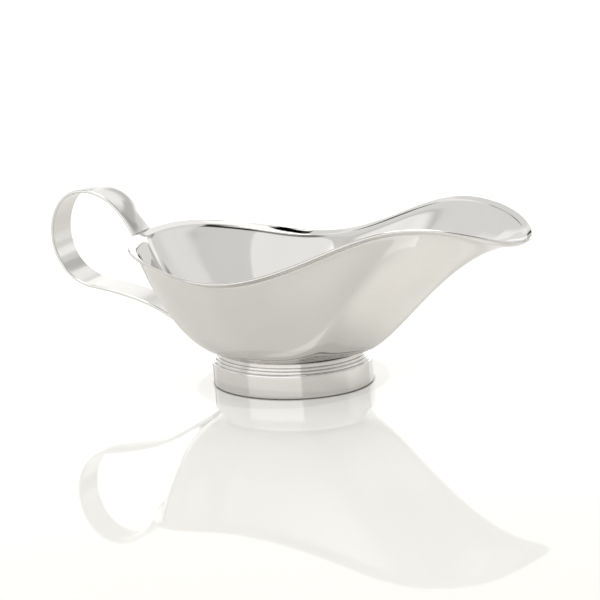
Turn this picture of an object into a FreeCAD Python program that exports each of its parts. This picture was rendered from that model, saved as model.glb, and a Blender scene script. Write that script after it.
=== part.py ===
import FreeCAD, Part
import os
import math
import Sketcher
from FreeCAD import Vector, Placement, Rotation

# Footed sauce boat: an oval raised bowl of sheet metal with an everted lip and a
# long pouring spout, a stepped oval foot ring, one bent strap handle, and the
# brazed joints between them.
# Frame: millimetres, +Z up, origin on the standing surface at the centre of the
# foot, +X toward the pouring lip, handle at -X.  The boat is symmetric in y = 0.

os.makedirs("parts", exist_ok=True)
doc = FreeCAD.newDocument("SauceBoat")

# ---------------------------------------------------------------- dimensions
sheet = doc.addObject("Spreadsheet::Sheet", "Dimensions")
rows = []


def cell(alias, value, note):
    n = len(rows) + 1
    sheet.set("A%d" % n, alias)
    sheet.set("B%d" % n, repr(float(value)))
    sheet.set("C%d" % n, note)
    sheet.setAlias("B%d" % n, alias)
    rows.append(alias)


# bowl
cell("bowl_wall", 1.0, "sheet thickness of the bowl")
cell("rim_centre_x", 20.3158, "x of the middle of the rim's length")
cell("rim_half_length", 86.4646, "half of the rim's length")
for k, v in enumerate([42.5797, 6.0834, 1.7290, -1.3139, -0.2571, -0.0026,
                       -0.3573, -0.3788, -0.4051, -0.0322, -0.1027, -0.0527]):
    cell("rim_breadth_%02d" % (k + 1), v, "sine term %d of the rim's half breadth" % (k + 1))
for k, v in enumerate([61.0403, -6.5227, 1.8400, 5.6259, -2.2453, -1.0821,
                       0.4116, 0.0260, -0.0866, -0.0760, -0.0640, -0.0949]):
    cell("rim_height_%02d" % k, v, "cosine term %d of the rim's height" % k)
cell("lip_run", 3.0, "how far the lip flares outward")
cell("lip_rise", 2.2, "how far the lip rises over that flare")
cell("seat_half_length", 31.4, "half length of the flat seat under the bowl")
cell("seat_half_breadth", 25.0, "half breadth of that seat")
for name, coeff in (("low_out", [0.3881, 0.1581, -0.0470, 0.0291, 0.0151, -0.0160]),
                    ("low_up", [0.0919, 0.0295, 0.0132, 0.0580, -0.0170, 0.0409]),
                    ("high_out", [0.7257, 0.1283, -0.0288, 0.0348, 0.0226, -0.0084]),
                    ("high_up", [0.7581, -0.1739, 0.1015, -0.0422, -0.0290, 0.0594])):
    for k, v in enumerate(coeff):
        cell("wall_%s_%d" % (name, k), v, "cosine term %d of the wall curve's %s share" % (k, name))
# foot ring
cell("foot_half_length", 33.75, "half length of the foot's drum")
cell("foot_half_breadth", 26.95, "half breadth of the foot's drum")
cell("drum_height", 10.0, "height of the drum")
cell("ledge_height", 11.15, "top of the first step")
cell("collar_height", 12.25, "top of the second step")
cell("foot_height", 14.0, "top of the foot, where the bowl sits")
cell("ledge_inset", 0.95, "first step in from the drum")
cell("collar_inset", 1.75, "second step in from the drum")
cell("neck_inset", 2.55, "neck in from the drum")
cell("foot_wall", 1.6, "wall of the drum")
cell("hollow_depth", 8.1, "depth of the wide hollow under the foot")
cell("throat_inset", 3.9, "inside of the neck in from the drum")
cell("foot_bead", 0.7, "radius on the bottom edge")
cell("drum_round", 0.8, "radius on the drum's top edge")
cell("step_round", 0.5, "radius on the two steps")
# handle
cell("strap_width", 13.8, "width of the strap")
cell("strap_thickness", 1.8, "thickness of the strap at its middle")
cell("strap_crown", 45.0, "radius of the strap's crowned outer face")
cell("strap_inner_round", 0.5, "radius of the inner corners")
cell("strap_outer_round", 0.6, "radius of the outer corners")
cell("strap_start_x", -65.728, "x where the strap's middle line meets the lip")
cell("strap_start_z", 58.903, "height of that point")
cell("strap_heading", 114.90, "rise angle of the strap from the lip")
arcs = [(10.09, 49.22), (9.11, 24.68), (11.51, 20.79), (16.28, 16.36),
        (21.90, 23.05), (21.27, 19.72), (22.76, -148.87), (13.50, -58.67)]
for k, (arc_l, arc_r) in enumerate(arcs):
    cell("bend_length_%d" % (k + 1), arc_l, "length of bend %d" % (k + 1))
    cell("bend_radius_%d" % (k + 1), abs(arc_r), "radius of bend %d" % (k + 1))
cell("tail_length", 21.0, "straight tail of the strap under the bowl")
# brazed joints
cell("braze_leg", 0.6, "leg of the fillet round the neck")
cell("upper_weld_radius", 0.75, "radius of the bead under the lip")
cell("lower_weld_radius", 0.9, "radius of the bead at the tail")
cell("weld_span", 11.6, "length of the beads across the strap")
doc.recompute()


def val(alias):
    v = getattr(sheet, alias)
    return float(getattr(v, "Value", v))


def ref(alias):
    return "%s.%s" % (sheet.Name, alias)


T = val("bowl_wall")
ZC = val("foot_height")

# ---------------------------------------------------------------- bowl surface
BREADTH = [val("rim_breadth_%02d" % k) for k in range(1, 13)]
HEIGHT = [val("rim_height_%02d" % k) for k in range(12)]
SHARE = [[val("wall_%s_%d" % (n, k)) for k in range(6)]
         for n in ("low_out", "low_up", "high_out", "high_up")]
LIP = (val("lip_run"), val("lip_rise"))
SEAT = (val("seat_half_length"), val("seat_half_breadth"))
NU = 96          # control points round the boat
SEAM = 29        # where the closed surface starts, on the flank away from the joints
NWALL = 16       # control rows up the wall


def rim(a):
    """Outer edge of the lip: a = 0 at the handle, pi at the pouring tip."""
    x = val_xc - val_r * math.cos(a)
    y = sum(b * math.sin((k + 1) * a) for k, b in enumerate(BREADTH))
    z = sum(c * math.cos(k * a) for k, c in enumerate(HEIGHT))
    return x, y, z


def rim_out(a):
    """Outward direction in plan at the rim."""
    dx = val_r * math.sin(a)
    dy = sum((k + 1) * b * math.cos((k + 1) * a) for k, b in enumerate(BREADTH))
    n = math.hypot(dx, dy)
    return -dy / n, dx / n


val_xc = val("rim_centre_x")
val_r = val("rim_half_length")


def meridian(a):
    """Outer skin from the seat up to the lip's edge, as (rows, lip frame)."""
    ex, ey, ez = rim(a)
    ox, oy = rim_out(a)
    run, rise = LIP
    length = math.hypot(run, rise)
    d = Vector(run * ox / length, run * oy / length, rise / length)
    n = Vector(rise * ox / length, rise * oy / length, -run / length)
    edge = Vector(ex, ey, ez) - d * 0.6 - Vector(0, 0, 0.1)
    root = Vector(ex, ey, ez) - d * length
    seat = Vector(-SEAT[0] * math.cos(a), SEAT[1] * math.sin(a), ZC)
    top = root + n * 0.35
    out = []
    for f in (0.72, 0.79, 0.86, 0.93):
        out.append(Vector(seat.x * f, seat.y * f, ZC))
    lo, lu, ho, hu = [sum(c * math.cos(k * a) for k, c in enumerate(s)) for s in SHARE]
    for j in range(NWALL + 1):
        s = j / NWALL
        b1, b2, b3 = 3 * s * (1 - s) ** 2, 3 * s * s * (1 - s), s ** 3
        h = lo * b1 + ho * b2 + b3
        g = lu * b1 + hu * b2 + b3
        out.append(Vector(seat.x + (top.x - seat.x) * h,
                          seat.y + (top.y - seat.y) * h,
                          seat.z + (top.z - seat.z) * g))
    for f in (0.30, 0.62, 0.88, 1.0):
        out.append(root + (edge - root) * f + n * (0.35 + 0.15 * min(1.0, 2 * f)))
    return out, d


NFLOOR = 4
grid = []
frames = []
angle = [2 * math.pi * (i + SEAM) / NU for i in range(NU)]
for a in angle:
    m, d = meridian(a)
    grid.append(m)
    frames.append(d)
NV = len(grid[0])


def sharpen(column):
    """Offsets a closed ring of control points so the periodic cubic runs through them."""
    n = len(column)
    cur = list(column)
    for _ in range(3):
        nxt = []
        for i in range(n):
            on = (cur[i - 1] + cur[i] * 4 + cur[(i + 1) % n]) * (1 / 6.0)
            nxt.append(cur[i] + (column[i] - on))
        cur = nxt
    return cur


def skin_normal(i, j):
    """Unit normal of the outer skin at a grid point, pointing out of the bowl."""
    if j < NFLOOR:
        return Vector(0, 0, -1)
    du = grid[(i + 1) % NU][j] - grid[i - 1][j]
    dv = grid[i][min(j + 1, NV - 1)] - grid[i][j - 1]
    n = dv.cross(du)
    n.normalize()
    ox, oy = rim_out(angle[i])
    if n.x * ox + n.y * oy - n.z < 0:
        n = n * -1
    return n


loop = []        # one closed meridian per angle: outer skin, edge, inner skin
for i in range(NU):
    outer = grid[i]
    inner = []
    for j in range(NV):
        inner.append(outer[j] - skin_normal(i, j) * T)
    d = frames[i]
    loop.append(outer + [outer[-1] + d * 0.55, inner[-1] + d * 0.55] + inner[::-1])
NL = len(loop[0])


def closed_surface(rings):
    """Cubic surface, periodic round the boat and clamped along the meridian."""
    nv = len(rings)
    cols = [sharpen(r) for r in rings]
    poles = [[cols[j][i] for j in range(nv)] for i in range(NU)]
    s = Part.BSplineSurface()
    vk = nv - 2
    s.buildFromPolesMultsKnots(poles, [1] * (NU + 1), [4] + [1] * (vk - 2) + [4],
                               [float(k) for k in range(NU + 1)],
                               [float(k) for k in range(vk)], True, False, 3, 3)
    return s


def closed_solid(rings):
    """Solid bounded by the surface and the two flat ovals at its ends."""
    skin = closed_surface(rings).toShape()
    caps = []
    for e in skin.Edges:
        if not e.isClosed():
            continue
        b = e.BoundBox
        if b.ZLength < 1e-4:
            caps.append(Part.Face(Part.Wire([e])))
    shell = Part.Shell([skin] + caps)
    shell.sewShape()
    solid = Part.Solid(shell)
    if solid.Volume < 0:
        solid.reverse()
    return solid


bowl_rings = [[loop[i][j] for i in range(NU)] for j in range(NL)]
bowl = doc.addObject("Part::Feature", "Bowl")
bowl.Label = "bowl"
bowl.Shape = closed_solid(bowl_rings)
bowl.Placement = Placement(Vector(0, 0, 0), Rotation())

# the outer skin and lip again with a lid over them: what the strap and the beads stop at
lid_rings = bowl_rings[:NV + 6]
for f, drop in ((0.93, 0.8), (0.85, 3.0)):
    lid_rings.append([Vector(val_xc + (grid[i][-5].x - val_xc) * f, grid[i][-5].y * f,
                             grid[i][-5].z - drop) for i in range(NU)])
for f in (0.6, 0.5, 0.4):
    lid_rings.append([Vector(val_xc + (grid[i][-5].x - val_xc) * f, grid[i][-5].y * f,
                             44.0) for i in range(NU)])
envelope = doc.addObject("Part::Feature", "BowlEnvelope")
envelope.Label = "bowl_envelope"
envelope.Shape = closed_solid(lid_rings)
envelope.Placement = Placement(Vector(0, 0, 0), Rotation())

# the lower part of the outer skin with a flat lid: what the strap's tail lies against
low_rings = bowl_rings[:NFLOOR + 11]
for f, drop in ((0.93, 1.0), (0.85, 3.0)):
    low_rings.append([Vector(loop[i][NFLOOR + 10].x * f, loop[i][NFLOOR + 10].y * f,
                             loop[i][NFLOOR + 10].z - drop) for i in range(NU)])
for f in (0.6, 0.5, 0.4):
    low_rings.append([Vector(loop[i][NFLOOR + 10].x * f, loop[i][NFLOOR + 10].y * f,
                             25.0) for i in range(NU)])
belly = doc.addObject("Part::Feature", "BowlBelly")
belly.Label = "bowl_belly"
belly.Shape = closed_solid(low_rings)
belly.Placement = Placement(Vector(0, 0, 0), Rotation())


# ---------------------------------------------------------------- helpers
def origin_plane(body, role):
    for f in body.Origin.OriginFeatures:
        if f.Role == role:
            return f
    raise RuntimeError(role)


def new_sketch(body, role, name, offset=None):
    sk = body.newObject("Sketcher::SketchObject", name)
    sk.AttachmentSupport = [(origin_plane(body, role), "")]
    sk.MapMode = "FlatFace"
    if offset is not None:
        sk.AttachmentOffset = offset
    return sk


def oval(sk, half_length, half_breadth, expr_a, expr_b):
    """Oval with its long axis on X, both half axes driven from the sheet."""
    g = sk.addGeometry(Part.Ellipse(Vector(half_length, 0, 0), Vector(0, half_breadth, 0),
                                    Vector(0, 0, 0)), False)
    sk.exposeInternalGeometry(g)
    sk.addConstraint(Sketcher.Constraint("Coincident", g, 3, -1, 1))
    sk.addConstraint(Sketcher.Constraint("PointOnObject", g + 1, 1, -1))
    ca = sk.addConstraint(Sketcher.Constraint("Distance", g + 1, 2 * half_length))
    cb = sk.addConstraint(Sketcher.Constraint("Distance", g + 2, 2 * half_breadth))
    sk.setExpression("Constraints[%d]" % ca, expr_a)
    sk.setExpression("Constraints[%d]" % cb, expr_b)
    return g


A0, B0 = val("foot_half_length"), val("foot_half_breadth")


def inset_oval(body, name, inset, z=0.0, z_expr=None):
    sk = new_sketch(body, "XY_Plane", name, Placement(Vector(0, 0, z), Rotation()))
    i = val(inset) if inset else 0.0
    tail = " - %s" % ref(inset) if inset else ""
    oval(sk, A0 - i, B0 - i, "2 * (%s%s)" % (ref("foot_half_length"), tail),
         "2 * (%s%s)" % (ref("foot_half_breadth"), tail))
    if z_expr:
        sk.setExpression("AttachmentOffset.Base.z", z_expr)
    return sk


def edge_names(shape, test):
    return ["Edge%d" % (k + 1) for k, e in enumerate(shape.Edges) if test(e)]


# ---------------------------------------------------------------- foot ring
foot = doc.addObject("PartDesign::Body", "FootRing")
foot.Label = "foot_ring"
for name, inset, top in (("Drum", None, "drum_height"), ("Ledge", "ledge_inset", "ledge_height"),
                         ("Collar", "collar_inset", "collar_height"),
                         ("Neck", "neck_inset", "foot_height")):
    sk = inset_oval(foot, name + "Sketch", inset)
    doc.recompute()
    pad = foot.newObject("PartDesign::Pad", name + "Pad")
    pad.Profile = sk
    pad.Length = val(top)
    pad.setExpression("Length", ref(top))
    doc.recompute()
solid_volume = pad.Shape.Volume
for name, inset, depth in (("WideHollow", "foot_wall", "hollow_depth"),
                           ("Throat", "throat_inset", "foot_height")):
    sk = inset_oval(foot, name + "Sketch", inset)
    doc.recompute()
    pk = foot.newObject("PartDesign::Pocket", name)
    pk.Profile = sk
    pk.Length = val(depth)
    pk.setExpression("Length", ref(depth))
    pk.Reversed = True
    doc.recompute()
    if not pk.Shape.Volume < solid_volume - 100:
        pk.Reversed = False
        doc.recompute()
    if not pk.Shape.Volume < solid_volume - 100:
        raise RuntimeError("pocket cuts nothing: " + name)
    solid_volume = pk.Shape.Volume


def on_ring(e, z, inset):
    """Closed oval edge at height z whose half length is the foot's less inset."""
    b = e.BoundBox
    return b.ZLength < 1e-4 and abs(b.ZMin - z) < 1e-4 and abs(b.XMax - (A0 - inset)) < 0.05


foot_rounds = [("FootBead", 0.0, 0.0, "foot_bead"),
               ("DrumRound", val("drum_height"), 0.0, "drum_round"),
               ("LedgeRound", val("ledge_height"), val("ledge_inset"), "step_round"),
               ("CollarRound", val("collar_height"), val("collar_inset"), "step_round"),
               ("InnerBead", 0.0, val("foot_wall"), "step_round")]
for name, z, inset, radius in foot_rounds:
    base = foot.Tip
    names = edge_names(base.Shape, lambda e: on_ring(e, z, inset))
    if not names:
        raise RuntimeError("no edge for " + name)
    fl = foot.newObject("PartDesign::Fillet", name)
    fl.Base = (base, names)
    fl.Radius = val(radius)
    fl.setExpression("Radius", ref(radius))
    doc.recompute()
foot.Tip = fl
foot.Placement = Placement(Vector(0, 0, 0), Rotation())

# ---------------------------------------------------------------- braze round the neck
braze = doc.addObject("PartDesign::Body", "FootBraze")
braze.Label = "foot_braze"
leg = val("braze_leg")
nk = val("neck_inset")
low = new_sketch(braze, "XY_Plane", "BrazeLow", Placement(Vector(0, 0, ZC - leg), Rotation()))
oval(low, A0 - nk + 0.02, B0 - nk + 0.02,
     "2 * (%s - %s) + 0.04" % (ref("foot_half_length"), ref("neck_inset")),
     "2 * (%s - %s) + 0.04" % (ref("foot_half_breadth"), ref("neck_inset")))
low.setExpression("AttachmentOffset.Base.z", "%s - %s" % (ref("foot_height"), ref("braze_leg")))
high = new_sketch(braze, "XY_Plane", "BrazeHigh", Placement(Vector(0, 0, ZC), Rotation()))
oval(high, A0 - nk + leg, B0 - nk + leg,
     "2 * (%s - %s + %s)" % (ref("foot_half_length"), ref("neck_inset"), ref("braze_leg")),
     "2 * (%s - %s + %s)" % (ref("foot_half_breadth"), ref("neck_inset"), ref("braze_leg")))
high.setExpression("AttachmentOffset.Base.z", ref("foot_height"))
doc.recompute()
lf = braze.newObject("PartDesign::AdditiveLoft", "BrazeLoft")
lf.Profile = low
lf.Sections = [high]
lf.Ruled = True
doc.recompute()
v0 = lf.Shape.Volume
core = new_sketch(braze, "XY_Plane", "BrazeCore", Placement(Vector(0, 0, 0), Rotation()))
oval(core, A0 - nk, B0 - nk,
     "2 * (%s - %s)" % (ref("foot_half_length"), ref("neck_inset")),
     "2 * (%s - %s)" % (ref("foot_half_breadth"), ref("neck_inset")))
doc.recompute()
cp = braze.newObject("PartDesign::Pocket", "BrazeBore")
cp.Profile = core
cp.Length = ZC + 2
cp.setExpression("Length", "%s + 2" % ref("foot_height"))
cp.Reversed = True
doc.recompute()
if not cp.Shape.Volume < v0 - 1:
    raise RuntimeError("braze bore cuts nothing")
braze.Tip = cp
braze.Placement = Placement(Vector(0, 0, 0), Rotation())

# ---------------------------------------------------------------- strap handle
strap = doc.addObject("PartDesign::Body", "Strap")
strap.Label = "strap_blank"
path = new_sketch(strap, "XZ_Plane", "StrapPath")
px, pz = val("strap_start_x"), val("strap_start_z")
th = math.radians(val("strap_heading"))
h0 = th
prev = None
seg = []
for k in range(len(arcs)):
    L = val("bend_length_%d" % (k + 1))
    r = val("bend_radius_%d" % (k + 1)) * (1 if arcs[k][1] > 0 else -1)
    turn = L / r
    cx, cz = px - r * math.sin(th), pz + r * math.cos(th)
    start = math.atan2(pz - cz, px - cx)
    end = start + turn
    mid = start + turn / 2
    R = abs(r)
    p0 = Vector(px, pz, 0)
    p1 = Vector(cx + R * math.cos(end), cz + R * math.sin(end), 0)
    pm = Vector(cx + R * math.cos(mid), cz + R * math.sin(mid), 0)
    g = path.addGeometry(Part.Arc(p0, pm, p1), False)
    c = path.addConstraint(Sketcher.Constraint("Radius", g, R))
    path.setExpression("Constraints[%d]" % c, ref("bend_radius_%d" % (k + 1)))
    # sketch arcs run counter-clockwise, so a left-hand bend starts at its point 1
    a_pt, b_pt = (1, 2) if r > 0 else (2, 1)
    if prev is not None:
        path.addConstraint(Sketcher.Constraint("Coincident", prev[0], prev[1], g, a_pt))
    prev = (g, b_pt)
    px, pz = p1.x, p1.y
    th += turn
tail = val("tail_length")
g = path.addGeometry(Part.LineSegment(Vector(px, pz, 0),
                                      Vector(px + tail * math.cos(th), pz + tail * math.sin(th), 0)), False)
path.addConstraint(Sketcher.Constraint("Coincident", prev[0], prev[1], g, 1))
c = path.addConstraint(Sketcher.Constraint("Distance", g, tail))
path.setExpression("Constraints[%d]" % c, ref("tail_length"))
doc.recompute()

# section: flat inside, crowned outside, rounded corners; local +x is the outer face
W, S = val("strap_width"), val("strap_thickness")
RC, RI, RO = val("strap_crown"), val("strap_inner_round"), val("strap_outer_round")
phi = math.atan2(math.cos(h0), math.sin(h0))
sec = new_sketch(strap, "XY_Plane", "StrapSection",
                 Placement(Vector(val("strap_start_x"), 0, val("strap_start_z")),
                           Rotation(Vector(0, 1, 0), math.degrees(phi))))
hw = W / 2
yc = hw - RO
xs = S / 2 - RC + math.sqrt((RC - RO) ** 2 - yc ** 2)
ang = math.atan2(yc, xs - (S / 2 - RC))


def arc(c, r, a0, a1):
    f = lambda a: Vector(c[0] + r * math.cos(a), c[1] + r * math.sin(a), 0)
    return Part.Arc(f(a0), f((a0 + a1) / 2), f(a1))


xi = -S / 2
pi = math.pi
g_in = sec.addGeometry(Part.LineSegment(Vector(xi, hw - RI, 0), Vector(xi, -(hw - RI), 0)), False)
g_c1 = sec.addGeometry(arc((xi + RI, -(hw - RI)), RI, pi, 1.5 * pi), False)
g_s1 = sec.addGeometry(Part.LineSegment(Vector(xi + RI, -hw, 0), Vector(xs, -hw, 0)), False)
g_c2 = sec.addGeometry(arc((xs, -yc), RO, -0.5 * pi, -ang), False)
g_cr = sec.addGeometry(arc((S / 2 - RC, 0), RC, -ang, ang), False)
g_c3 = sec.addGeometry(arc((xs, yc), RO, ang, 0.5 * pi), False)
g_s2 = sec.addGeometry(Part.LineSegment(Vector(xs, hw, 0), Vector(xi + RI, hw, 0)), False)
g_c4 = sec.addGeometry(arc((xi + RI, hw - RI), RI, 0.5 * pi, pi), False)
for a, b in ((g_in, g_c1), (g_c1, g_s1), (g_s1, g_c2), (g_c2, g_cr), (g_cr, g_c3),
             (g_c3, g_s2), (g_s2, g_c4), (g_c4, g_in)):
    sec.addConstraint(Sketcher.Constraint("Coincident", a, 2, b, 1))
for gg in (g_in,):
    sec.addConstraint(Sketcher.Constraint("Vertical", gg))
for gg in (g_s1, g_s2):
    sec.addConstraint(Sketcher.Constraint("Horizontal", gg))
c = sec.addConstraint(Sketcher.Constraint("DistanceY", g_s1, 1, g_s2, 2, W))
sec.setExpression("Constraints[%d]" % c, ref("strap_width"))
c = sec.addConstraint(Sketcher.Constraint("Radius", g_cr, RC))
sec.setExpression("Constraints[%d]" % c, ref("strap_crown"))
c = sec.addConstraint(Sketcher.Constraint("Radius", g_c2, RO))
sec.setExpression("Constraints[%d]" % c, ref("strap_outer_round"))
c = sec.addConstraint(Sketcher.Constraint("Radius", g_c1, RI))
sec.setExpression("Constraints[%d]" % c, ref("strap_inner_round"))
doc.recompute()
pipe = strap.newObject("PartDesign::AdditivePipe", "StrapSweep")
pipe.Profile = sec
pipe.Spine = (path, ["Edge%d" % (k + 1) for k in range(len(arcs) + 1)])
pipe.Mode = "Standard"
doc.recompute()
strap.Tip = pipe
strap.Placement = Placement(Vector(0, 0, 0), Rotation())

# the strap's flat end stands on the lip's edge; its tail stops against the bowl's underside
trim = doc.addObject("Part::Cut", "StrapTrim")
trim.Base = strap
trim.Tool = belly
trim.Label = "handle_strap"
doc.recompute()

# ---------------------------------------------------------------- weld beads
def bead(name, label, radius, ring, at, tools):
    """A short curved bead across the strap, cut back to what it joins."""
    tor = doc.addObject("Part::Torus", name + "Rod")
    tor.Radius1 = ring
    tor.Radius2 = val(radius)
    tor.setExpression("Radius2", ref(radius))
    span = math.degrees(val("weld_span") / ring)
    tor.Angle3 = span
    tor.setExpression("Angle3", "%s / %r * 180 / pi" % (ref("weld_span"), float(ring)))
    tor.Placement = Placement(Vector(at[0] + ring, 0, at[1]),
                              Rotation(Vector(0, 0, 1), 180 - span / 2))
    doc.recompute()
    base = tor
    for n, tool in enumerate(tools):
        cut = doc.addObject("Part::Cut", "%sCut%d" % (name, n + 1))
        cut.Base = base
        cut.Tool = tool
        doc.recompute()
        base = cut
    base.Label = label
    return base


upper = bead("UpperBead", "upper_handle_weld", "upper_weld_radius", 27.5, (-66.05, 58.05),
             [envelope, strap])
lower = bead("LowerBead", "lower_handle_weld", "lower_weld_radius", 24.0, (-43.5, 22.3),
             [envelope, strap])
doc.recompute()

# ---------------------------------------------------------------- checks and files
NODES = [bowl, foot, braze, trim, upper, lower]
bad = []
for o in doc.Objects:
    st = list(o.State)
    if "Invalid" in st or "Error" in st:
        bad.append((o.Name, st))
if bad:
    raise RuntimeError("failed objects: %r" % bad)
for o in NODES:
    s = o.Shape
    if s.isNull() or not s.isValid():
        raise RuntimeError("bad shape: " + o.Label)
    b = s.BoundBox
    print("%-18s solids %d volume %10.1f  x %.2f %.2f  y %.2f %.2f  z %.2f %.2f" % (
        o.Label, len(s.Solids), s.Volume, b.XMin, b.XMax, b.YMin, b.YMax, b.ZMin, b.ZMax))
for o in NODES:
    o.Shape.exportStep(os.path.join("parts", o.Label + ".step"))
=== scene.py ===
import bpy
import math
import numpy as np
from mathutils import Matrix, Vector


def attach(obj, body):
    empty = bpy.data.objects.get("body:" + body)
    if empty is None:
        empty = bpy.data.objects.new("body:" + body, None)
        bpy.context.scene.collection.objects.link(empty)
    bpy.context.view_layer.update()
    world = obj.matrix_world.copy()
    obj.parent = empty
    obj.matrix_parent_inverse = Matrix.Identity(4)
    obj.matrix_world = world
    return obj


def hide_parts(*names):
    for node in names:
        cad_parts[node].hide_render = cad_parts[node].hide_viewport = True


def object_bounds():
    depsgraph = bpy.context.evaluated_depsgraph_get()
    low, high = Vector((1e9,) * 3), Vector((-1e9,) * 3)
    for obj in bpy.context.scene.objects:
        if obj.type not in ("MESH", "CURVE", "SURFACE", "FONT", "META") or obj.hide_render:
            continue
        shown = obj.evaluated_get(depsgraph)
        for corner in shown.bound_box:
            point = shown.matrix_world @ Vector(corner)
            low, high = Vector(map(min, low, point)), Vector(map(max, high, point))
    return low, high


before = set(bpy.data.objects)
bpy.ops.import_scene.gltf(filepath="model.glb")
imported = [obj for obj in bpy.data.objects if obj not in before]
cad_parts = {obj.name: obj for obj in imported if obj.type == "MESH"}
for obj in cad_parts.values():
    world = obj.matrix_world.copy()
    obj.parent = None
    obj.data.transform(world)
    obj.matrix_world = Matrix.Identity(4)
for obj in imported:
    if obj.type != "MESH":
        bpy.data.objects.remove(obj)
cad_lo, cad_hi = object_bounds()

scene = bpy.context.scene
MM = 0.001

# ------------------------------------------------------------------ bowl surface
# The same closed cubic surface as the CAD bowl, evaluated densely so that the
# polished skin reflects without facets.
XC, RR = 20.3158, 86.4646
BREADTH = [42.5797, 6.0834, 1.7290, -1.3139, -0.2571, -0.0026,
           -0.3573, -0.3788, -0.4051, -0.0322, -0.1027, -0.0527]
HEIGHT = [61.0403, -6.5227, 1.8400, 5.6259, -2.2453, -1.0821,
          0.4116, 0.0260, -0.0866, -0.0760, -0.0640, -0.0949]
SHARE = [[0.3881, 0.1581, -0.0470, 0.0291, 0.0151, -0.0160],
         [0.0919, 0.0295, 0.0132, 0.0580, -0.0170, 0.0409],
         [0.7257, 0.1283, -0.0288, 0.0348, 0.0226, -0.0084],
         [0.7581, -0.1739, 0.1015, -0.0422, -0.0290, 0.0594]]
RUN, RISE = 3.0, 2.2
SEAT_A, SEAT_B, ZC, WALL = 31.4, 25.0, 14.0, 1.0
NU, NWALL, NFLOOR = 96, 16, 4
BEAD_H, BEAD_W, BEAD_S = 0.09, 0.42, 2.7


def series(coeff, a, fn, first):
    return sum(c * fn((k + first) * a) for k, c in enumerate(coeff))


def bowl_rows():
    """Control rows of the closed meridian: rows x angles x 3, in millimetres."""
    a = 2 * np.pi * np.arange(NU) / NU
    e = np.stack([XC - RR * np.cos(a), series(BREADTH, a, np.sin, 1), series(HEIGHT, a, np.cos, 0)], 1)
    dx = RR * np.sin(a)
    dy = sum((k + 1) * b * np.cos((k + 1) * a) for k, b in enumerate(BREADTH))
    ln = np.hypot(dx, dy)
    ox, oy = -dy / ln, dx / ln
    L = math.hypot(RUN, RISE)
    d = np.stack([RUN * ox / L, RUN * oy / L, np.full(NU, RISE / L)], 1)
    n = np.stack([RISE * ox / L, RISE * oy / L, np.full(NU, -RUN / L)], 1)
    edge = e - d * 0.6 - np.array([0, 0, 0.1])
    root = e - d * L
    seat = np.stack([-SEAT_A * np.cos(a), SEAT_B * np.sin(a), np.full(NU, ZC)], 1)
    top = root + n * 0.35
    rows = []
    for f in (0.72, 0.79, 0.86, 0.93):
        rows.append(seat * np.array([f, f, 1.0]))
    lo, lu, ho, hu = [series(s, a, np.cos, 0) for s in SHARE]
    for j in range(NWALL + 1):
        s = j / NWALL
        b1, b2, b3 = 3 * s * (1 - s) ** 2, 3 * s * s * (1 - s), s ** 3
        h = (lo * b1 + ho * b2 + b3)[:, None]
        g = (lu * b1 + hu * b2 + b3)[:, None]
        p = seat + (top - seat) * np.concatenate([h, h, g], 1)
        rows.append(p)
    for f in (0.30, 0.62, 0.88, 1.0):
        rows.append(root + (edge - root) * f + n * (0.35 + 0.15 * min(1.0, 2 * f)))
    grid = np.array(rows)
    nv = len(grid)
    inner = []
    for j in range(nv):
        if j < NFLOOR:
            nn = np.tile(np.array([0, 0, -1.0]), (NU, 1))
        else:
            du = np.roll(grid[j], -1, 0) - np.roll(grid[j], 1, 0)
            dv = grid[min(j + 1, nv - 1)] - grid[j - 1]
            nn = np.cross(dv, du)
            nn /= np.linalg.norm(nn, axis=1)[:, None]
            s = nn[:, 0] * ox + nn[:, 1] * oy - nn[:, 2]
            nn[s < 0] *= -1
        inner.append(grid[j] - nn * WALL)
    inner = np.array(inner)
    loop = list(grid) + [grid[-1] + d * 0.55, inner[-1] + d * 0.55] + list(inner[::-1])
    loop = np.array(loop)
    # control points offset so the periodic cubic passes through the rows
    cur = loop.copy()
    for _ in range(3):
        on = (np.roll(cur, 1, 1) + 4 * cur + np.roll(cur, -1, 1)) / 6
        cur = cur + (loop - on)
    return cur


def basis_clamped(n, t):
    """Cubic basis functions of a clamped uniform knot vector, at parameters t."""
    knots = np.concatenate([[0, 0, 0], np.arange(n - 2), [n - 3] * 3]).astype(float)
    t = np.clip(t, 0, n - 3 - 1e-9)
    N = np.zeros((len(t), len(knots) - 1))
    span = np.searchsorted(knots, t, side="right") - 1
    N[np.arange(len(t)), span] = 1
    for p in range(1, 4):
        M = np.zeros((len(t), len(knots) - 1 - p))
        for i in range(M.shape[1]):
            l = knots[i + p] - knots[i]
            r = knots[i + p + 1] - knots[i + 1]
            if l > 0:
                M[:, i] += (t - knots[i]) / l * N[:, i]
            if r > 0:
                M[:, i] += (knots[i + p + 1] - t) / r * N[:, i + 1]
        N = M
    return N


def basis_periodic(n, m):
    """Uniform periodic cubic basis: n control points, m samples per span."""
    N = np.zeros((n * m, n))
    for i in range(n):
        for k in range(m):
            u = k / m
            w = [(1 - u) ** 3 / 6, (3 * u ** 3 - 6 * u * u + 4) / 6,
                 (-3 * u ** 3 + 3 * u * u + 3 * u + 1) / 6, u ** 3 / 6]
            for q in range(4):
                N[i * m + k, (i - 1 + q) % n] += w[q]
    return N


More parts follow.
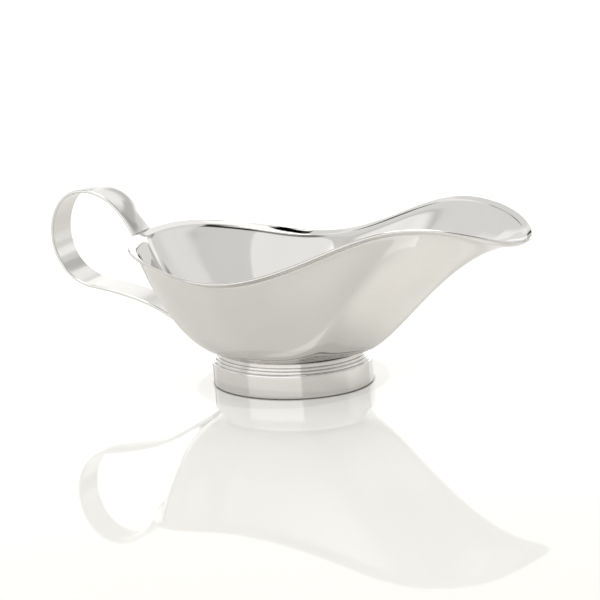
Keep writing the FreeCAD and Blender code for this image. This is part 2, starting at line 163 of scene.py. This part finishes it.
def surface_mesh(name, verts, nrow, ncol, closed_rows=False, cap=True):
    """Quad mesh of a grid of points that closes on itself along the columns."""
    faces = []
    last = nrow if closed_rows else nrow - 1
    for j in range(last):
        j2 = (j + 1) % nrow
        for i in range(ncol):
            i2 = (i + 1) % ncol
            faces.append((j * ncol + i, j * ncol + i2, j2 * ncol + i2, j2 * ncol + i))
    if cap and not closed_rows:
        faces.append(tuple(range(ncol))[::-1])
        faces.append(tuple((nrow - 1) * ncol + i for i in range(ncol)))
    me = bpy.data.meshes.new(name)
    me.from_pydata([tuple(v) for v in verts * MM], [], faces)
    me.validate()
    me.update()
    ob = bpy.data.objects.new(name, me)
    scene.collection.objects.link(ob)
    me.polygons.foreach_set("use_smooth", [True] * len(me.polygons))
    return ob


def outward(ob):
    """Makes a closed mesh's faces point outward."""
    import bmesh
    bm = bmesh.new()
    bm.from_mesh(ob.data)
    bmesh.ops.recalc_face_normals(bm, faces=bm.faces)
    if bm.calc_volume(signed=True) < 0:
        bmesh.ops.reverse_faces(bm, faces=bm.faces)
    bm.to_mesh(ob.data)
    bm.free()
    return ob


ctrl = bowl_rows()
nrow = len(ctrl)
tv = []
for s in range(nrow - 3):
    m = 3
    lip = NFLOOR + NWALL - 2
    if lip <= s <= nrow - lip - 3:
        m = 5
    tv += [s + k / m for k in range(m)]
tv.append(nrow - 3)
half_t = nrow / 2 - 1.5
tv += list(np.arange(half_t + 3.2, half_t + 7.4, 0.07))
tv = sorted(set(round(t, 4) for t in tv))
BV = basis_clamped(nrow, np.array(tv))
BU = basis_periodic(NU, 4)
pts = np.einsum("vj,jic,ui->vuc", BV, ctrl, BU)

# the rolled crease inside the lip: a low bead all round, a few millimetres in from the edge
first_in = int(np.searchsorted(tv, half_t + 1.0))
du = np.roll(pts, -1, 1) - np.roll(pts, 1, 1)
dv = np.zeros_like(pts)
dv[1:-1] = pts[2:] - pts[:-2]
nrm = np.cross(dv, du)
nrm /= np.maximum(np.linalg.norm(nrm, axis=2), 1e-9)[..., None]
mid = first_in + 12
if (nrm[mid, :, 2] > 0).sum() < nrm.shape[1] / 2:
    nrm *= -1
step = np.linalg.norm(np.diff(pts[first_in:], axis=0), axis=2)
run = np.concatenate([np.zeros((1, pts.shape[1])), np.cumsum(step, 0)], 0)
bead = BEAD_H * np.exp(-((run - BEAD_S) / BEAD_W) ** 2)
pts[first_in:] += nrm[first_in:] * bead[..., None]
bowl = outward(surface_mesh("boat_bowl", pts.reshape(-1, 3), pts.shape[0], pts.shape[1]))
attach(bowl, "root")
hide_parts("bowl")

# ------------------------------------------------------------------ foot ring
FA, FB = 33.75, 26.95


def round_corner(p, q, r, s, steps):
    """Arc of radius s that rounds the corner q of the path p-q-r."""
    p, q, r = map(np.array, (p, q, r))
    u, v = (p - q) / np.linalg.norm(p - q), (r - q) / np.linalg.norm(r - q)
    ang = math.acos(float(np.clip(u @ v, -1, 1)))
    cut = s / math.tan(ang / 2)
    c = q + (u + v) / np.linalg.norm(u + v) * (s / math.sin(ang / 2))
    a, b = q + u * cut - c, q + v * cut - c
    tot = math.acos(float(np.clip((a @ b) / (s * s), -1, 1)))
    out = []
    for k in range(steps + 1):
        f = k / steps
        w = (math.sin((1 - f) * tot) * a + math.sin(f * tot) * b) / math.sin(tot)
        out.append(c + w)
    return out


def profile(points):
    """Polyline with rounded corners: (inset, z, radius) round a closed loop."""
    n = len(points)
    out = []
    for i in range(n):
        p, q, r = points[i - 1], points[i], points[(i + 1) % n]
        if q[2] <= 0:
            out.append(np.array(q[:2]))
        else:
            out += round_corner(p[:2], q[:2], r[:2], q[2], 8)
    dense = []
    for i in range(len(out)):
        a, b = out[i], out[(i + 1) % len(out)]
        k = max(1, int(np.linalg.norm(b - a) / 0.9))
        for j in range(k):
            dense.append(a + (b - a) * j / k)
    return np.array(dense)


def oval_ring(name, prof, cols=320):
    a = 2 * np.pi * np.arange(cols) / cols
    v = np.zeros((len(prof), cols, 3))
    for j, (ins, z) in enumerate(prof):
        v[j, :, 0] = (FA - ins) * np.cos(a)
        v[j, :, 1] = (FB - ins) * np.sin(a)
        v[j, :, 2] = z
    return outward(surface_mesh(name, v.reshape(-1, 3), len(prof), cols, closed_rows=True))


foot_prof = profile([
    (0.0, 0.0, 0.70), (0.0, 10.0, 0.80), (0.95, 10.0, 0.12), (0.95, 11.15, 0.60),
    (1.75, 11.15, 0.12), (1.75, 12.25, 0.60), (2.55, 12.25, 0.12), (2.55, 14.0, 0.03),
    (3.90, 14.0, 0.03), (3.90, 8.1, 0.30), (1.60, 8.1, 0.50), (1.60, 0.0, 0.35)])
foot = oval_ring("boat_foot", foot_prof)
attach(foot, "root")
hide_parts("foot_ring")

leg = 0.6
bz = []
for k in range(9):
    f = k / 8
    a = math.pi / 2 * f
    # concave quarter from the neck up to the underside of the bowl
    bz.append((2.55 - leg + leg * math.cos(a) - 0.0, ZC - leg + leg * math.sin(a)))
braze_prof = np.array([(2.57, ZC - leg)] + [(2.55 - leg * (1 - math.cos(math.pi / 2 * k / 8)), ZC - leg + leg * math.sin(math.pi / 2 * k / 8)) for k in range(1, 9)] + [(2.57, ZC)])
braze = oval_ring("boat_foot_braze", braze_prof)
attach(braze, "root")
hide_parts("foot_braze")

# ------------------------------------------------------------------ strap handle
SX, SZ, SH = -65.728, 58.903, math.radians(114.90)
BENDS = [(10.09, 49.22), (9.11, 24.68), (11.51, 20.79), (16.28, 16.36),
         (21.90, 23.05), (21.27, 19.72), (22.76, -148.87), (13.50, -58.67)]
TAIL = 21.0
SW, ST, RC, RI, RO = 13.8, 1.8, 45.0, 0.5, 0.6


def strap_line(step=0.45):
    """Points and headings along the middle line; curvature eases between the bends."""
    total = sum(b[0] for b in BENDS) + TAIL
    knots = []
    s0 = 0.0
    for L, R in BENDS:
        knots.append((s0, s0 + L, 1.0 / R))
        s0 += L
    knots.append((s0, s0 + TAIL, 0.0))

    def kappa(s):
        ease = 2.6
        k = knots[0][2]
        for i in range(1, len(knots)):
            w = (s - (knots[i][0] - ease)) / (2 * ease)
            w = min(max(w, 0.0), 1.0)
            w = w * w * (3 - 2 * w)
            k += (knots[i][2] - knots[i - 1][2]) * w
        return k
    n = int(total / step)
    ds = total / n
    x, z, th = SX, SZ, SH
    out = [(x, z, th)]
    for i in range(n):
        k = kappa((i + 0.5) * ds)
        tm = th + k * ds / 2
        x += ds * math.cos(tm)
        z += ds * math.sin(tm)
        th += k * ds
        out.append((x, z, th))
    return np.array(out)


def strap_section():
    """(thickness, width) points of the section, counter-clockwise; +thickness is the outer face."""
    hw = SW / 2
    yc = hw - RO
    xs = ST / 2 - RC + math.sqrt((RC - RO) ** 2 - yc ** 2)
    ang = math.atan2(yc, xs - (ST / 2 - RC))
    xi = -ST / 2
    p = []

    def arc(cx, cy, r, a0, a1, n):
        for k in range(n + 1):
            a = a0 + (a1 - a0) * k / n
            p.append((cx + r * math.cos(a), cy + r * math.sin(a)))
    arc(ST / 2 - RC, 0, RC, -ang, ang, 28)
    arc(xs, yc, RO, ang, math.pi / 2, 8)
    arc(xi + RI, hw - RI, RI, math.pi / 2, math.pi, 8)
    for k in range(1, 20):
        p.append((xi, (hw - RI) * (1 - 2 * k / 20)))
    arc(xi + RI, -(hw - RI), RI, math.pi, 1.5 * math.pi, 8)
    arc(xs, -yc, RO, -math.pi / 2, -ang, 8)
    q = [p[0]]
    for a in p[1:]:
        if math.hypot(a[0] - q[-1][0], a[1] - q[-1][1]) > 1e-4:
            q.append(a)
    if math.hypot(q[0][0] - q[-1][0], q[0][1] - q[-1][1]) < 1e-4:
        q.pop()
    return np.array(q)


line = strap_line()
sec = strap_section()
rows = []
for x, z, th in line:
    nx, nz = math.sin(th), -math.cos(th)
    rows.append(np.stack([x + sec[:, 0] * nx, sec[:, 1], z + sec[:, 0] * nz], 1))
rows = np.array(rows)


def skin_x(z, y):
    """x of the bowl's outer skin at the back, at height z and offset y."""
    c = OUT
    best = None
    d = np.abs(c[..., 1] - y) + np.abs(c[..., 2] - z) * 1.0 + (c[..., 0] > 0) * 1e3
    j = np.unravel_index(np.argmin(d), d.shape)
    return c[j][0]


# points of the tail that would enter the bowl are held just inside its outer skin
half = len(tv) // 2
OUT = pts[:half]
tail_from = int(len(rows) * 0.80)
for r in range(tail_from, len(rows)):
    for k in range(rows.shape[1]):
        x, y, z = rows[r, k]
        if z < 36:
            sx = skin_x(z, y)
            if x > sx + 0.35:
                rows[r, k, 0] = sx + 0.35
# the easing of the bends bows the grip out a little; it is drawn back to the CAD outline
lo_x, hi_z = float(cad_lo[0]) / MM + 0.01, float(cad_hi[2]) / MM - 0.01
over_x = max(0.0, lo_x - float(rows[..., 0].min()))
over_z = max(0.0, float(rows[..., 2].max()) - hi_z)
wx = np.clip((-92.0 - rows[..., 0]) / 13.0, 0, 1)
wz = np.clip((rows[..., 2] - 66.0) / 10.0, 0, 1)
rows[..., 0] += over_x * wx * wx * (3 - 2 * wx)
rows[..., 2] -= over_z * wz * wz * (3 - 2 * wz)
strap = outward(surface_mesh("boat_strap", rows.reshape(-1, 3), rows.shape[0], rows.shape[1]))
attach(strap, "root")
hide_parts("handle_strap")

# ------------------------------------------------------------------ materials


def node(nt, kind, loc=(0, 0), **props):
    n = nt.nodes.new(kind)
    n.location = loc
    for k, v in props.items():
        setattr(n, k, v)
    return n


def polished(name, color, rough, wave, wave_scale, haze=0.0, seed=0.0):
    """Buffed sheet metal: slow planishing waves, fine buffing lines, faint haze and hairline scratches."""
    m = bpy.data.materials.new(name)
    m.use_nodes = True
    nt = m.node_tree
    nt.nodes.clear()
    out = node(nt, "ShaderNodeOutputMaterial", (900, 0))
    b = node(nt, "ShaderNodeBsdfPrincipled", (600, 0))
    nt.links.new(b.outputs[0], out.inputs[0])
    b.inputs["Metallic"].default_value = 1.0
    tc = node(nt, "ShaderNodeTexCoord", (-1200, 0))
    mp = node(nt, "ShaderNodeMapping", (-1000, 0))
    mp.inputs["Location"].default_value = (seed, seed * 0.7, seed * 1.3)
    nt.links.new(tc.outputs["Object"], mp.inputs[0])
    # slow waves of the beaten and buffed sheet
    w = node(nt, "ShaderNodeTexNoise", (-800, -300))
    w.inputs["Scale"].default_value = wave_scale
    w.inputs["Detail"].default_value = 1.5
    w.inputs["Roughness"].default_value = 0.35
    nt.links.new(mp.outputs[0], w.inputs["Vector"])
    # buffing lines: noise stretched along the boat
    st = node(nt, "ShaderNodeMapping", (-1000, -600))
    st.inputs["Scale"].default_value = (60, 900, 900)
    nt.links.new(tc.outputs["Object"], st.inputs[0])
    buf = node(nt, "ShaderNodeTexNoise", (-800, -600))
    buf.inputs["Scale"].default_value = 1.0
    buf.inputs["Detail"].default_value = 4.0
    nt.links.new(st.outputs[0], buf.inputs["Vector"])
    # haze and finger marks
    hz = node(nt, "ShaderNodeTexNoise", (-800, 200))
    hz.inputs["Scale"].default_value = 38.0
    hz.inputs["Detail"].default_value = 6.0
    hz.inputs["Distortion"].default_value = 0.6
    nt.links.new(mp.outputs[0], hz.inputs["Vector"])
    hr = node(nt, "ShaderNodeMapRange", (-560, 200))
    hr.inputs["From Min"].default_value = 0.35
    hr.inputs["From Max"].default_value = 0.75
    hr.inputs["To Min"].default_value = rough
    hr.inputs["To Max"].default_value = rough + 0.014 + haze
    nt.links.new(hz.outputs["Fac"], hr.inputs["Value"])
    br = node(nt, "ShaderNodeMapRange", (-560, -600))
    br.inputs["From Min"].default_value = 0.45
    br.inputs["From Max"].default_value = 0.75
    br.inputs["To Min"].default_value = 0.0
    br.inputs["To Max"].default_value = 0.012
    nt.links.new(buf.outputs["Fac"], br.inputs["Value"])
    add = node(nt, "ShaderNodeMath", (-320, 100), operation="ADD")
    nt.links.new(hr.outputs[0], add.inputs[0])
    nt.links.new(br.outputs[0], add.inputs[1])
    nt.links.new(add.outputs[0], b.inputs["Roughness"])
    # colour: slightly warm steel, a little deeper where the haze lies
    mix = node(nt, "ShaderNodeMix", (0, 300), data_type="RGBA")
    mix.inputs[6].default_value = (*color, 1)
    mix.inputs[7].default_value = (color[0] * 0.965, color[1] * 0.96, color[2] * 0.95, 1)
    fr = node(nt, "ShaderNodeMapRange", (-320, 300))
    fr.inputs["From Min"].default_value = 0.3
    fr.inputs["From Max"].default_value = 0.8
    nt.links.new(hz.outputs["Fac"], fr.inputs["Value"])
    nt.links.new(fr.outputs[0], mix.inputs[0])
    nt.links.new(mix.outputs[2], b.inputs["Base Color"])
    # hairline scratches
    vs = node(nt, "ShaderNodeMapping", (-1000, -900))
    vs.inputs["Scale"].default_value = (220, 1400, 1400)
    vs.inputs["Rotation"].default_value = (0.3, 0.5, 0.2)
    nt.links.new(tc.outputs["Object"], vs.inputs[0])
    sc = node(nt, "ShaderNodeTexNoise", (-800, -900))
    sc.inputs["Scale"].default_value = 1.0
    sc.inputs["Detail"].default_value = 2.0
    nt.links.new(vs.outputs[0], sc.inputs["Vector"])
    b1 = node(nt, "ShaderNodeBump", (0, -300))
    b1.inputs["Strength"].default_value = 1.0
    b1.inputs["Distance"].default_value = wave
    nt.links.new(w.outputs["Fac"], b1.inputs["Height"])
    b2 = node(nt, "ShaderNodeBump", (250, -300))
    b2.inputs["Strength"].default_value = 1.0
    b2.inputs["Distance"].default_value = 0.0000004
    nt.links.new(sc.outputs["Fac"], b2.inputs["Height"])
    nt.links.new(b1.outputs[0], b2.inputs["Normal"])
    nt.links.new(b2.outputs[0], b.inputs["Normal"])
    return m


STEEL = (0.700, 0.690, 0.668)
mat_bowl = polished("bowl_polish", STEEL, 0.012, 0.00001, 22.0)
mat_foot = polished("foot_polish", STEEL, 0.010, 0.000003, 60.0, seed=3.0)
mat_strap = polished("strap_polish", STEEL, 0.11, 0.00001, 40.0, haze=0.03, seed=7.0)
mat_braze = polished("braze_polish", (0.66, 0.64, 0.60), 0.16, 0.00003, 500.0, haze=0.05, seed=11.0)


def assign(ob, mat):
    ob.data.materials.clear()
    ob.data.materials.append(mat)


assign(bowl, mat_bowl)
assign(foot, mat_foot)
assign(strap, mat_strap)
assign(braze, mat_braze)
for nm in ("upper_handle_weld", "lower_handle_weld"):
    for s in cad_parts[nm].material_slots:
        s.material = mat_braze

# ------------------------------------------------------------------ floor
fl_me = bpy.data.meshes.new("floor")
S = 6.0
fl_me.from_pydata([(-S, -S, 0), (S, -S, 0), (S, S, 0), (-S, S, 0)], [], [(0, 1, 2, 3)])
floor = bpy.data.objects.new("floor", fl_me)
scene.collection.objects.link(floor)
fm = bpy.data.materials.new("floor_gloss")
fm.use_nodes = True
nt = fm.node_tree
nt.nodes.clear()
fo = node(nt, "ShaderNodeOutputMaterial", (900, 0))
dif = node(nt, "ShaderNodeBsdfDiffuse", (300, 100))
dif.inputs["Color"].default_value = (0.43, 0.424, 0.405, 1)
glo = node(nt, "ShaderNodeBsdfGlossy", (300, -100))
glo.inputs["Color"].default_value = (1, 1, 1, 1)
glo.inputs["Roughness"].default_value = 0.03
fmix = node(nt, "ShaderNodeMixShader", (600, 0))
fre = node(nt, "ShaderNodeFresnel", (0, 200))
fre.inputs["IOR"].default_value = 1.5
# the table top is white acrylic, faintly lit from below; its glow also carries painted light and painted
# shade near the boat
floor_glow_painted_light = node(nt, "ShaderNodeEmission", (300, 250))
floor_glow_painted_light.inputs["Color"].default_value = (1.0, 0.985, 0.94, 1)
ftc = node(nt, "ShaderNodeTexCoord", (-1200, 400))
fsep = node(nt, "ShaderNodeSeparateXYZ", (-1000, 400))
nt.links.new(ftc.outputs["Object"], fsep.inputs[0])


def fmath(op, a, b=None, clamp=False):
    n = node(nt, "ShaderNodeMath", (-800, 400), operation=op, use_clamp=clamp)
    for i, v in enumerate((a, b)):
        if v is None:
            continue
        if isinstance(v, (int, float)):
            n.inputs[i].default_value = v
        else:
            nt.links.new(v, n.inputs[i])
    return n.outputs[0]


def oval(cx, cy, rx, ry):
    """Distance from (cx, cy) in units of the oval's radii, in metres."""
    x = fmath("DIVIDE", fmath("SUBTRACT", fsep.outputs[0], cx), rx)
    y = fmath("DIVIDE", fmath("SUBTRACT", fsep.outputs[1], cy), ry)
    return fmath("SQRT", fmath("ADD", fmath("MULTIPLY", x, x), fmath("MULTIPLY", y, y)))


def fade(d, lo, hi):
    n = node(nt, "ShaderNodeMapRange", (-400, 400), interpolation_type="SMOOTHSTEP")
    nt.links.new(d, n.inputs["Value"])
    n.inputs["From Min"].default_value = lo
    n.inputs["From Max"].default_value = hi
    n.inputs["To Min"].default_value = 1.0
    n.inputs["To Max"].default_value = 0.0
    return n.outputs[0]


# painted light: the glow is raised in an oval under the spout so the floor there reads as lit
g = fmath("ADD", fmath("MULTIPLY", fade(oval(0.070, 0.0, 0.030, 0.045), 0.35, 1.15), 0.26), 0.455)
# painted shadow: the glow is lowered inside a 39 mm circle round the foot
g = fmath("SUBTRACT", g, fmath("MULTIPLY", fade(oval(0.0, 0.0, 0.0390, 0.0390), 0.965, 1.035), 0.085))
# painted contact shade: no glow inside the foot's footprint, so a dark line shows where the foot meets the
# floor
g = fmath("MULTIPLY", g, fmath("SUBTRACT", 1.0, fade(oval(0.0, 0.0, 0.0342, 0.0274), 0.985, 1.015)))
nt.links.new(g, floor_glow_painted_light.inputs["Strength"])
both = node(nt, "ShaderNodeAddShader", (450, 200))
nt.links.new(dif.outputs[0], both.inputs[0])
nt.links.new(floor_glow_painted_light.outputs[0], both.inputs[1])
nt.links.new(fre.outputs[0], fmix.inputs[0])
nt.links.new(both.outputs[0], fmix.inputs[1])
nt.links.new(glo.outputs[0], fmix.inputs[2])
nt.links.new(fmix.outputs[0], fo.inputs[0])
fl_me.materials.append(fm)

# ------------------------------------------------------------------ world
# A white studio: pale walls, a bright soft light overhead, a large diffuser in
# front, a white sweep behind and the dark gaps between them. Directions are in
# degrees: az 0 looks along -Y and 90 along +X, bk is the same round +Y.
world = bpy.data.worlds.new("studio")
scene.world = world
world.use_nodes = True
wn = world.node_tree
wn.nodes.clear()
wo = node(wn, "ShaderNodeOutputWorld", (600, 0))
bg = node(wn, "ShaderNodeBackground", (300, 0))
wn.links.new(bg.outputs[0], wo.inputs[0])
wtc = node(wn, "ShaderNodeTexCoord", (-2000, 0))
wsep = node(wn, "ShaderNodeSeparateXYZ", (-1800, 0))
wn.links.new(wtc.outputs["Generated"], wsep.inputs[0])


def wmath(op, a, b=None):
    n = node(wn, "ShaderNodeMath", (-1500, 0), operation=op)
    for i, v in enumerate((a, b)):
        if v is None:
            continue
        if isinstance(v, (int, float)):
            n.inputs[i].default_value = v
        else:
            wn.links.new(v, n.inputs[i])
    return n.outputs[0]


deg = 180.0 / math.pi
neg_y = wmath("MULTIPLY", wsep.outputs[1], -1.0)
AZ = wmath("MULTIPLY", wmath("ARCTAN2", wsep.outputs[0], neg_y), deg)
BK = wmath("MULTIPLY", wmath("ARCTAN2", wsep.outputs[0], wsep.outputs[1]), deg)
EL = wmath("MULTIPLY", wmath("ARCSINE", wsep.outputs[2]), deg)


def ramp(v, at, soft, falling=False):
    n = node(wn, "ShaderNodeMapRange", (-1200, 0), interpolation_type="SMOOTHSTEP")
    wn.links.new(v, n.inputs["Value"])
    n.inputs["From Min"].default_value = at - soft
    n.inputs["From Max"].default_value = at + soft
    n.inputs["To Min"].default_value = 1.0 if falling else 0.0
    n.inputs["To Max"].default_value = 0.0 if falling else 1.0
    return n.outputs[0]


level = None


def paint(value, turn, t0, t1, e0, e1, soft=3.0, esoft=None, lean=0.0):
    """Sets the brightness to value between turn angles t0..t1 and elevations e0..e1."""
    global level
    esoft = soft if esoft is None else esoft
    e = EL if lean == 0.0 else wmath("ADD", EL, wmath("MULTIPLY", turn, lean))
    m = ramp(turn, t0, soft)
    m = wmath("MULTIPLY", m, ramp(turn, t1, soft, True))
    m = wmath("MULTIPLY", m, ramp(e, e0, esoft))
    m = wmath("MULTIPLY", m, ramp(e, e1, esoft, True))
    n = node(wn, "ShaderNodeMix", (-600, 0), data_type="FLOAT")
    wn.links.new(m, n.inputs[0])
    if level is None:
        n.inputs[2].default_value = 0.95
    else:
        wn.links.new(level, n.inputs[2])
    n.inputs[3].default_value = value
    level = n.outputs[0]


paint(0.95, AZ, -200, 200, -100, 100)
# walls
paint(0.86, AZ, 12, 95, 18, 46, 10, 6)
paint(0.62, AZ, 20, 112, -30, 20, 3, 4)
paint(1.03, AZ, 92, 122, 12, 38, 8, 4)
paint(0.92, AZ, 118, 158, -20, 24, 6, 4)
paint(0.72, AZ, -78, -50, -20, 16, 6, 4)
paint(0.84, AZ, -62, -44, 14, 42, 3, 4)
paint(1.20, AZ, -76, -58, 2, 12, 4, 3)
paint(1.10, AZ, -122, -98, 24, 40, 4, 4)
paint(1.20, AZ, -144, -121, 32, 49, 2, 4)
# white sweep behind, with the gap above it
paint(1.40, BK, -66, 36, -40, 23, 6, 1.5)
paint(1.90, BK, -60, 30, -40, 19, 6, 2)
paint(0.92, BK, 19, 44, -20, 26, 2, 3)
paint(0.68, BK, -19, 38, 24.5, 31, 3, 1.5)
paint(0.45, BK, 34, 46, 20, 38, 3, 3)
paint(1.22, BK, -35, 24, 34, 62, 6, 3)
paint(0.66, BK, 10, 38, 24, 35, 3, 1.5)
paint(1.33, BK, -38, -21, 21, 40, 3, 3)
paint(1.50, BK, -36, 22, 62, 84, 5, 3)
# edge of the sweep at the far left and the narrow gap beside it
paint(1.02, AZ, -152, -138, 28, 45, 2, 3)
paint(0.98, AZ, -139, -124, 13, 30, 2, 2)
paint(0.10, AZ, -136, -126.5, 14, 25, 1, 1)
paint(1.25, AZ, 142, 158, 4, 15, 2, 2)
# front diffuser
paint(1.60, AZ, -46, 19, -10, 20, 1.2, 4)
paint(1.13, AZ, -46, 14, 18, 41, 1.2, 3)
# gap above the diffuser and the light overhead
paint(0.28, AZ, -60, 75, 44, 60, 10, 3)
paint(0.05, AZ, 16, 90, 42, 60, 6, 3)
paint(5.0, AZ, -95, 34, 65, 95, 8, 2)
paint(0.45, AZ, 62, 150, 66, 88, 10, 3)
paint(0.0, AZ, -146, -100, 64.0, 83, 3, 0.6)
paint(0.0, AZ, -141, -134, 53, 65, 2, 1.5)
wn.links.new(level, bg.inputs["Strength"])
bg.inputs["Color"].default_value = (1, 1, 1, 1)

# ------------------------------------------------------------------ camera
az, el, roll, F, D, U0, V0 = 29.308, 14.454, 4.623, 2416.756, 975.582, 293.769, 379.787
a, e, r = map(math.radians, (az, el, roll))
back = np.array([math.sin(a) * math.cos(e), -math.cos(a) * math.cos(e), math.sin(e)])
right = np.array([math.cos(a), math.sin(a), 0.0])
up = np.cross(back, right)
R = math.cos(r) * right - math.sin(r) * up
U = math.sin(r) * right + math.cos(r) * up
dx = (U0 - 300) / F * D
dy = -(V0 - 300) / F * D
C = (D * back - R * dx - U * dy) * MM
cam_d = bpy.data.cameras.new("camera")
cam_d.sensor_width = 36.0
cam_d.lens = F / 600 * 36.0
cam_d.clip_start = 0.01
cam_d.clip_end = 50
cam = bpy.data.objects.new("camera", cam_d)
scene.collection.objects.link(cam)
M = Matrix.Identity(4)
for i in range(3):
    M[i][0], M[i][1], M[i][2], M[i][3] = R[i], U[i], back[i], C[i]
cam.matrix_world = M
scene.camera = cam

scene.view_settings.view_transform = "Standard"
scene.view_settings.look = "None"
scene.view_settings.exposure = 0.0
scene.view_settings.gamma = 1.0
